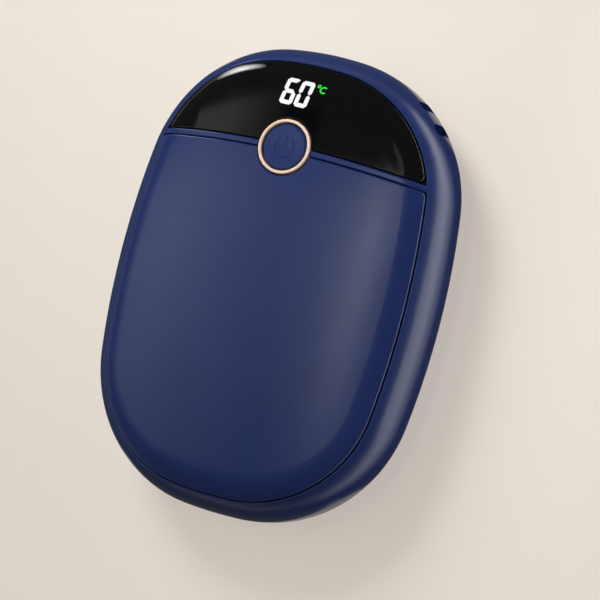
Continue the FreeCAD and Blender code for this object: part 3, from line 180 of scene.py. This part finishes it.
def glowing(name, colour, strength, roughness=0.4, patch_size=0.8, unlit_shares=(0.06, 0.1),
            lit_shares=(0.94, 1)):
    """A lit segment, slightly uneven as light behind a film is."""
    made, tree, shader = material(name, Roughness=roughness, Emission_Strength=strength)
    uneven = grain(tree, patch_size)
    drift(tree, shader, uneven, colour, unlit_shares)
    drift(tree, shader, uneven, colour, lit_shares, "Emission Color")
    return made


def film_with_track(name, colour, track_colour, track_scale, roughness=0.35, depth=0.02, distortion=0.4):
    """Heater film: amber polyimide over a metal track laid in close lines."""
    made, tree, shader = material(name, Roughness=roughness)
    track = wave(tree, track_scale, distortion, wave_type="BANDS", bands_direction="X")
    tree.links.new(tint(tree, track, colour, track_colour), shader.inputs["Base Color"])
    relief(tree, shader, track, depth)
    return made


NAVY = (0.011, 0.023, 0.105)
BUTTON_SHARE = 1.1
SATIN_SPECULAR = 0.42
WINDOW_BLACK = (0.0025, 0.0025, 0.003)
WINDOW_SPECULAR = 0.32
ROSE = (0.94, 0.69, 0.52)
RING_CENTRE = [(low + high) / 2 for low, high in zip(*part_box("button_ring"))]


def dress():
    """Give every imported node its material."""
    navy = moulded("navy satin", NAVY, roughness=0.24, grain_size=0.25, depth=0.0004, gloss=0.015,
                   Specular_IOR_Level=SATIN_SPECULAR)
    button = moulded("button satin", shade(NAVY, BUTTON_SHARE), roughness=0.27,
                     Specular_IOR_Level=SATIN_SPECULAR)
    window = moulded("window black", WINDOW_BLACK, roughness=0.07, grain_size=9.0, depth=0.0004, gloss=0.02,
                     Specular_IOR_Level=WINDOW_SPECULAR)
    rose = turned_metal("rose gold", ROSE, low=0.26, high=0.35, centre=RING_CENTRE, ring_scale=0.05,
                        Metallic=0.12)
    steel = brushed_metal("plated steel", (0.6, 0.6, 0.61), low=0.24, high=0.38, stretch=(1, 6, 1))
    foil = brushed_metal("pouch foil", (0.66, 0.68, 0.7), low=0.29, high=0.43, stretch=(1, 0.2, 1))
    rubber = moulded("black foam tape", (0.02, 0.02, 0.02), roughness=0.85, grain_size=0.2, depth=0.02)
    board = moulded("solder mask", (0.02, 0.15, 0.06), roughness=0.45, grain_size=0.8, depth=0.01, tone=0.2)
    black = moulded("moulded black", (0.02, 0.02, 0.022), roughness=0.55, grain_size=0.15, depth=0.004)
    white = moulded("moulded white", (0.78, 0.78, 0.75), roughness=0.5, grain_size=0.2, depth=0.004)
    grey = moulded("moulded grey", (0.12, 0.12, 0.13), roughness=0.5, grain_size=0.2, depth=0.004)
    tape = moulded("cell tape", (0.72, 0.68, 0.55), roughness=0.6, grain_size=0.5, depth=0.01)
    foam = moulded("grey foam", (0.2, 0.2, 0.22), roughness=0.95, grain_size=0.3, depth=0.05, tone=0.2)
    heater = film_with_track("heater film", (0.5, 0.24, 0.04), track_colour=(0.3, 0.13, 0.03),
                             track_scale=2.4)
    ferrite = moulded("ferrite", (0.08, 0.08, 0.085), roughness=0.6, grain_size=0.1, depth=0.01)
    red = moulded("red sleeve", (0.5, 0.02, 0.02), roughness=0.45)
    dark = moulded("black sleeve", (0.02, 0.02, 0.02), roughness=0.45)
    pale = moulded("white sleeve", (0.72, 0.72, 0.7), roughness=0.45)
    epoxy = moulded("dipped epoxy", (0.1, 0.05, 0.02), roughness=0.25)
    looks = {
        navy: ["side_frame", "front_cover", "rear_cover"],
        button: ["power_button"],
        window: ["window_lens"],
        rose: ["button_ring"],
        rubber: ["window_gasket"],
        board: ["display_board", "main_board", "cell_guard"],
        black: ["switch_body", "control_chip", "usb_c_tongue", "display_module"],
        white: ["display_diffuser", "battery_connector", "heater_connector"],
        grey: ["battery_chassis", "switch_plunger"],
        steel: ["board_screws", "chassis_screws", "usb_c_shell"],
        foil: ["battery_cell_rear", "battery_cell_front"],
        tape: ["cell_tape"],
        foam: ["rear_foam", "front_foam"],
        heater: ["front_heater", "rear_heater", "display_ribbon"],
        ferrite: ["power_coil"],
        red: ["battery_lead_red"],
        dark: ["battery_lead_black"],
        pale: ["front_heater_leads", "rear_heater_leads"],
        epoxy: ["thermistor"],
    }
    for made, names in looks.items():
        for name in names:
            NODES[name].data.materials.clear()
            NODES[name].data.materials.append(made)


# Meshes

def finished(name, bm):
    """The mesh of a bmesh that is done with."""
    mesh = bpy.data.meshes.new(name)
    bm.to_mesh(mesh)
    bm.free()
    return mesh


def rectangle(name, xs, ys, height):
    """The mesh of a level rectangle between two ends each way."""
    mesh = bpy.data.meshes.new(name)
    left, right = xs
    near, far = ys
    corners = [(left, near, height), (right, near, height), (right, far, height), (left, far, height)]
    mesh.from_pydata(corners, [], [range(len(corners))])
    return mesh


def placed(mesh, made):
    """A mesh put into the scene with its material, under the mesh's name."""
    mesh.materials.append(made)
    item = bpy.data.objects.new(mesh.name, mesh)
    bpy.context.scene.collection.objects.link(item)
    return item


# Signs: thin inlays let into the surface of the piece that carries them, with sizes in millimetres

def surface_of(name):
    """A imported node's surface, to look down on."""
    mesh = NODES[name].data
    corners = [vertex.co for vertex in mesh.vertices]
    return BVHTree.FromPolygons(corners, [polygon.vertices for polygon in mesh.polygons])


def look_down(surface, place):
    """The top of a surface at a place, and its normal there."""
    return surface.ray_cast(Vector((place.x, place.y, 0)) + UP, -UP)[:2]


def inlay(name, carrier, outlines, body, made, lift=0.03, thick=0.06, step=0.4):
    """Flat outlines, cut fine enough to follow the carrier and laid on it as one thin piece."""
    surface = surface_of(carrier)
    bm = bmesh.new()
    for outline in outlines:
        bm.faces.new([bm.verts.new((x * MM, y * MM, 0)) for x, y in outline])
    for axis in (0, 1):
        values = [vertex.co[axis] for vertex in bm.verts]
        low, high = min(values), max(values)
        across = Vector((axis == 0, axis == 1, 0))
        for count in range(1, math.ceil((high - low) / (step * MM))):
            cut = across * (low + count * step * MM)
            everything = bm.verts[:] + bm.edges[:] + bm.faces[:]
            bmesh.ops.bisect_plane(bm, geom=everything, plane_co=cut, plane_no=across)
    for vertex in bm.verts:
        point, normal = look_down(surface, vertex.co)
        vertex.co = point + normal * (lift - thick) * MM
    bmesh.ops.recalc_face_normals(bm, faces=bm.faces)
    raised = bmesh.ops.extrude_face_region(bm, geom=bm.faces[:])["geom"]
    for vertex in (item for item in raised if isinstance(item, bmesh.types.BMVert)):
        normal = look_down(surface, vertex.co)[1]
        vertex.co = vertex.co + normal * thick * MM
    bmesh.ops.recalc_face_normals(bm, faces=bm.faces)
    item = placed(finished(name, bm), made)
    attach(item, body)


DIGIT_WIDTH = 3.02
DIGIT_HEIGHT = 5.75
DIGIT_PITCH = 3.45
DIGIT_STROKE = 0.9
DIGIT_CHAMFER = 0.5
DIGIT_GAP = 0.012
DIGIT_LEAN = math.tan(math.radians(6.0))
DIGIT_TURN = math.radians(-1.6)
DIGIT_CORNER = (-4.27, 36.87)
READING = "60"
LIT = {"6": "acdefg", "0": "abcdef"}
LIT_STRENGTH = 1.0
LIT_WHITE = (0.88, 0.88, 0.88)
LIT_GREEN = (0.04, 0.72, 0.05)
DEGREE_CENTRE = (7.37, 5.28)
DEGREE_RADII = (0.14, 0.4)
LETTER_CENTRE = (8.64, 4.65)
LETTER_RADII = (0.48, 0.8)
LETTER_OPENING = 48
LETTER_SQUEEZE = 1.06


def segments():
    """The seven segments of a digit as outlines, from its lower left corner."""
    wide, tall, stroke, chamfer = DIGIT_WIDTH, DIGIT_HEIGHT, DIGIT_STROKE, DIGIT_CHAMFER
    half, mid = stroke / 2, tall / 2
    bevel = chamfer / 2
    top = [
        (bevel, tall - bevel), (chamfer, tall), (wide - chamfer, tall),
        (wide - bevel, tall - bevel), (wide - stroke, tall - stroke), (stroke, tall - stroke)]
    upper = [
        (bevel, tall - bevel), (stroke, tall - stroke), (stroke, mid + half),
        (half, mid), (0, mid + half), (0, tall - chamfer)]
    middle = [
        (half, mid), (stroke, mid + half), (wide - stroke, mid + half),
        (wide - half, mid), (wide - stroke, mid - half), (stroke, mid - half)]

    def flipped(outline, across, down):
        return [(wide - x if across else x, tall - y if down else y) for x, y in outline]

    return {
        "a": top,
        "b": flipped(upper, True, False),
        "c": flipped(upper, True, True),
        "d": flipped(top, False, True),
        "e": flipped(upper, False, True),
        "f": upper,
        "g": middle,
    }


def drawn_in(outline, gap):
    """An outline with each corner moved towards the middle by a gap."""
    middle = sum((Vector(corner) for corner in outline), Vector((0, 0))) / len(outline)
    return [Vector(corner) + (middle - Vector(corner)).normalized() * gap for corner in outline]


def leaned(corner):
    """A point of the display's own plane on the device."""
    x, y = corner[0] + corner[1] * DIGIT_LEAN, corner[1]
    cosine, sine = math.cos(DIGIT_TURN), math.sin(DIGIT_TURN)
    return DIGIT_CORNER[0] + x * cosine - y * sine, DIGIT_CORNER[1] + x * sine + y * cosine


def arc_band(centre, inner, outer, start, end, squeeze=1, count=28):
    """A band between two arcs, by angles in degrees, as short quads."""
    quads = []
    angles = [math.radians(start + (end - start) * n / count) for n in range(count + 1)]
    for first, last in zip(angles, angles[1:]):
        quads.append([
            (centre[0] + radius * squeeze * math.cos(angle), centre[1] + radius * math.sin(angle))
            for radius, angle in ((inner, first), (outer, first), (outer, last), (inner, last))])
    return quads


def display():
    """The lit reading on the window's face: two digits and the degree sign."""
    shapes = segments()
    reading = []
    for place, digit in enumerate(READING):
        for name in LIT[digit]:
            outline = drawn_in(shapes[name], DIGIT_GAP)
            reading.append([leaned((x + place * DIGIT_PITCH, y)) for x, y in outline])
    white = glowing("lit white", LIT_WHITE, LIT_STRENGTH)
    inlay("display_digits", "window_lens", reading, "housing", white)
    letter_ends = (LETTER_OPENING, FULL_TURN - LETTER_OPENING)
    bands = arc_band(DEGREE_CENTRE, *DEGREE_RADII, 0, FULL_TURN)
    bands += arc_band(LETTER_CENTRE, *LETTER_RADII, *letter_ends, LETTER_SQUEEZE)
    unit = [[leaned(corner) for corner in band] for band in bands]
    green = glowing("lit green", LIT_GREEN, LIT_STRENGTH)
    inlay("display_unit", "window_lens", unit, "housing", green)


# The sign's share of the navy is painted shade of its engraved lines
ICON_SHADE_SHARE = 0.5
ICON_RADII = (2.0, 2.3)
ICON_OPENING = 32.0
ICON_COUNT = 48
ICON_BAR_WIDTH = 0.34
ICON_BAR_LENGTH = 2.75


def power_icon():
    """The sign let into the button, drawn in a darker tone: painted shade of its engraved lines."""
    centre_x, centre_y = (value / MM for value in RING_CENTRE[:2])
    start, end = QUARTER_TURN + ICON_OPENING, QUARTER_TURN + FULL_TURN - ICON_OPENING
    outlines = arc_band((centre_x, centre_y), *ICON_RADII, start, end, count=ICON_COUNT)
    left, right = centre_x - ICON_BAR_WIDTH / 2, centre_x + ICON_BAR_WIDTH / 2
    top = centre_y + ICON_BAR_LENGTH
    outlines.append([(left, centre_y), (right, centre_y), (right, top), (left, top)])
    # The sign's darker navy is painted shade of its engraved lines
    made = moulded("icon painted shade navy", shade(NAVY, ICON_SHADE_SHARE), roughness=0.5)
    inlay("power_icon", "power_button", outlines, "button", made, lift=0.012, thick=0.03)


# Contacts in the charging port, with sizes in millimetres

TONGUE_THICK = 0.7
CONTACT_COUNT = 12
CONTACT_PITCH = 0.5
CONTACT_WIDTH = 0.26
CONTACT_LENGTH = 3.6
CONTACT_THICK = 0.04
CONTACT_SETBACK = 0.35
CONTACT_GOLD = (0.9, 0.68, 0.3)


def port_contacts():
    """Gold contact strips half let into both faces of the port's tongue."""
    low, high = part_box("usb_c_tongue")
    size = Matrix.Diagonal((CONTACT_WIDTH * MM, CONTACT_LENGTH * MM, CONTACT_THICK * MM, 1))
    y = low.y + (CONTACT_SETBACK + CONTACT_LENGTH / 2) * MM
    bm = bmesh.new()
    for face in (-1, 1):
        z = (low.z + high.z) / 2 + face * TONGUE_THICK / 2 * MM
        for count in range(CONTACT_COUNT):
            x = (count - (CONTACT_COUNT - 1) / 2) * CONTACT_PITCH * MM
            bmesh.ops.create_cube(bm, size=1, matrix=Matrix.Translation((x, y, z)) @ size)
    gold = brushed_metal("contact gold", CONTACT_GOLD, low=0.19, high=0.33, stretch=(1, 0.1, 1))
    item = placed(finished("port_contacts", bm), gold)
    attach(item, "housing")


# Floor, in metres as all that follows

FLOOR = (0.84, 0.77, 0.69)
FLOOR_ENDS = (-3.0, 3.0)
FLOOR_SHARE = 0.45
GLOW_SHARE = 0.55


def backdrop(made):
    """The same material with a pale glow that only sight, mirrors and glass pick up."""
    tree = made.node_tree
    path = node(tree, "ShaderNodeLightPath")
    seen = path.outputs["Is Camera Ray"]
    for ray in ("Is Glossy Ray", "Is Transmission Ray"):
        seen = maths(tree, "MAXIMUM", seen, path.outputs[ray])
    glow = node(tree, "ShaderNodeEmission", Color=(*FLOOR, 1))
    tree.links.new(maths(tree, "MULTIPLY", seen, GLOW_SHARE), glow.inputs["Strength"])
    both = node(tree, "ShaderNodeAddShader")
    tree.links.new(tree.nodes["Principled BSDF"].outputs["BSDF"], both.inputs[0])
    tree.links.new(glow.outputs["Emission"], both.inputs[1])
    tree.links.new(both.outputs["Shader"], tree.nodes["Material Output"].inputs["Surface"])
    return made


def floor():
    """The plain pale floor that the object lies on."""
    made = moulded("pale floor", shade(FLOOR, FLOOR_SHARE), roughness=0.8, grain_size=1.6, depth=0.02,
                   tone=0.012)
    item = placed(rectangle("floor", FLOOR_ENDS, FLOOR_ENDS, 0), backdrop(made))


# Light

def facing(centre, aim, tilt=0):
    """A place at one point that looks at another, turned about that line by degrees."""
    back = Vector(centre) - Vector(aim)
    turn = back.to_track_quat("Z", "Y") @ Quaternion(UP, math.radians(tilt))
    return Matrix.Translation(centre) @ turn.to_matrix().to_4x4()


def softbox(name, centre, aim, width, height, radiance, mirrored=True, lights=True, spread=FULL_TURN / 2):
    """A flat lamp at a point, facing another, with a brightness per area; gloss shows it if mirrored."""
    lamp = bpy.data.lights.new(name, "AREA")
    lamp.shape = "RECTANGLE"
    lamp.spread = math.radians(spread)
    lamp.size, lamp.size_y = width, height
    lamp.energy = radiance * math.pi * width * height
    item = bpy.data.objects.new(name, lamp)
    item.matrix_world = facing(centre, aim)
    item.visible_glossy = mirrored
    item.visible_diffuse = lights
    bpy.context.scene.collection.objects.link(item)


def sheet(name, xs, ys, height):
    """A rectangle that the camera doesn't see and that casts no shadow, and its empty node tree."""
    made = bpy.data.materials.new(name)
    made.use_nodes = True
    made.node_tree.nodes.clear()
    made.cycles.emission_sampling = "NONE"
    item = placed(rectangle(name, xs, ys, height), made)
    item.visible_camera = False
    item.visible_shadow = False
    return item, made.node_tree


def shine(tree, strength):
    """White light of a linked strength as the material's surface."""
    glow = node(tree, "ShaderNodeEmission", Color=(1, 1, 1, 1))
    tree.links.new(strength, glow.inputs["Strength"])
    output = node(tree, "ShaderNodeOutputMaterial")
    tree.links.new(glow.outputs["Emission"], output.inputs["Surface"])


def panel(name, xs, ys, height, across, along=(1, 1), lights=True):
    """A level glowing sheet: a brightness from left to right, times one from near to far."""
    item, tree = sheet(name, xs, ys, height)
    item.visible_diffuse = lights
    axes = node(tree, "ShaderNodeSeparateXYZ")
    tree.links.new(place_of(tree), axes.inputs["Vector"])
    first = ramp(tree, axes.outputs["X"], xs, across)
    second = ramp(tree, axes.outputs["Y"], ys, along)
    shine(tree, maths(tree, "MULTIPLY", first, second))


def spot(name, centre, aim, width, height, radiance, tilt):
    """A patch of light that only gloss shows, brightest in its middle and fading to an oval edge."""
    item, tree = sheet(name, (-width / 2, width / 2), (-height / 2, height / 2), 0)
    item.matrix_world = facing(centre, aim, tilt)
    item.visible_diffuse = False
    fade = node(tree, "ShaderNodeTexGradient", gradient_type="SPHERICAL")
    tree.links.new(place_of(tree, (2 / width, 2 / height, 1)), fade.inputs["Vector"])
    shine(tree, maths(tree, "MULTIPLY", fade.outputs["Fac"], radiance))


ROOM_COLOUR = (1.0, 0.98, 0.95)
ROOM_STRENGTH = 0.1

# Screens high over the object, which its crown and its window mirror
SCREEN_HEIGHT = 0.6
SCREENS = [
    dict(name="far left screen", xs=(-1.7, -0.8), ys=(-0.35, 0.145), across=(0.2, 1.5), along=(0.15, 1.4)),
    dict(name="left screen", xs=(-0.8, -0.18), ys=(-0.35, 0.145), across=(1.5, 0.55), along=(0.15, 1.4)),
    dict(name="middle screen", xs=(-0.18, 0.0), ys=(-0.22, 0.138), across=(0.55, 1.2), along=(0.05, 1.41)),
    dict(name="right screen", xs=(0.0, 0.06), ys=(-0.2, 0.138), across=(1.2, 4.3), along=(0.05, 1.52)),
    dict(name="far right screen", xs=(0.06, 0.096), ys=(-0.2, 0.135), across=(4.3, 3.7), along=(0.05, 1.5)),
    dict(name="window screen", xs=(-0.79, -0.56), ys=(0.145, 0.212), across=(1.0, 0.95)),
    dict(name="window fade", xs=(-0.56, -0.29), ys=(0.145, 0.212), across=(0.95, 0.0)),
    dict(name="window shade", xs=(-0.29, -0.18), ys=(0.145, 0.195), across=(0.0, 0.0)),
    dict(name="window strip", xs=(0.09, 0.15), ys=(0.135, 0.25), across=(1.1, 1.1), along=(1.2, 0.2)),
]

# Cards close over the floor, which the sides mirror
CARD_HEIGHT = 0.003
CARDS = [
    dict(name="left card", xs=(-0.2, -0.036), ys=(-0.15, 0.15), across=(0.08, 0.08)),
    dict(name="top card", xs=(-0.036, 0.03), ys=(0.052, 0.15), across=(0.12, 0.12)),
    dict(name="lower card", xs=(-0.036, 0.03), ys=(-0.15, -0.052), across=(0.1, 0.1)),
    dict(name="right card", xs=(0.03, 0.042), ys=(-0.15, 0.15), across=(0.05, 0.05)),
    dict(name="right glow", xs=(0.042, 0.066), ys=(-0.15, 0.15), across=(0.05, 5.1), along=(0.1, 1.25)),
    dict(name="right crest", xs=(0.066, 0.16), ys=(-0.15, 0.15), across=(5.1, 4.0), along=(0.1, 1.25)),
]


def light():
    """Screens and cards to mirror, lamps, and a dim room round them."""
    for screen in SCREENS:
        panel(height=SCREEN_HEIGHT, **screen)
    for card in CARDS:
        panel(height=CARD_HEIGHT, lights=False, **card)
    softbox("right floor", centre=(0.285, 0.1, 0.002), aim=(0.285, 0.1, 1), width=0.4, height=0.5,
            radiance=2.6)
    softbox("right wall", centre=(0.49, 0.1, 0.02), aim=(0, 0.1, 0.02), width=0.5, height=0.04, radiance=2.6,
            lights=False)
    softbox("right fill", centre=(0.5, 0.1, 0.12), aim=(0, 0, 0.02), width=0.3, height=0.2, radiance=3.5,
            mirrored=False)
    spot("rim spot", centre=(-0.247, 0.234, 0.055), aim=(-0.016, 0.0426, 0.023), width=0.15, height=0.085,
         radiance=22.0, tilt=-45)
    softbox("overhead", centre=(0, 0, 1.5), aim=(0, 0, 0), width=1.5, height=1.5, radiance=0.2,
            mirrored=False)
    softbox("key", centre=(-0.14, 0.24, 0.3), aim=(-0.02, 0.06, 0.02), width=0.16, height=0.16, radiance=2.3,
            mirrored=False, spread=60)
    world = bpy.data.worlds.new("room")
    world.use_nodes = True
    background = world.node_tree.nodes["Background"]
    background.inputs["Color"].default_value = (*ROOM_COLOUR, 1)
    background.inputs["Strength"].default_value = ROOM_STRENGTH
    bpy.context.scene.world = world


# Camera, with angles in radians and lens sizes in millimetres

YAW, PITCH, ROLL = 0.428, -0.016, 0.255
CAMERA_DISTANCE = 0.48
CAMERA_AIM = Vector((0, 0, 0.01373))
CAMERA_LENS = 135.1
CAMERA_SENSOR = 36.0
CAMERA_SHIFT = (0.0422, -0.0268)


def camera():
    """The photograph's viewpoint."""
    back = Vector((math.sin(YAW) * math.cos(PITCH), math.sin(PITCH), math.cos(YAW) * math.cos(PITCH)))
    level = Vector((0, 1, 0)).cross(back).normalized()
    upright = back.cross(level)
    right = level * math.cos(ROLL) + upright * math.sin(ROLL)
    top = upright * math.cos(ROLL) - level * math.sin(ROLL)
    data = bpy.data.cameras.new("camera")
    data.lens = CAMERA_LENS
    data.sensor_width = CAMERA_SENSOR
    data.shift_x, data.shift_y = CAMERA_SHIFT
    item = bpy.data.objects.new("camera", data)
    turn = Matrix((right, top, back)).transposed().to_4x4()
    item.matrix_world = Matrix.Translation(CAMERA_AIM + back * CAMERA_DISTANCE) @ turn
    bpy.context.scene.collection.objects.link(item)
    bpy.context.scene.camera = item


dress()
display()
power_icon()
port_contacts()
floor()
light()
camera()
bpy.context.scene.view_settings.view_transform = "Standard"
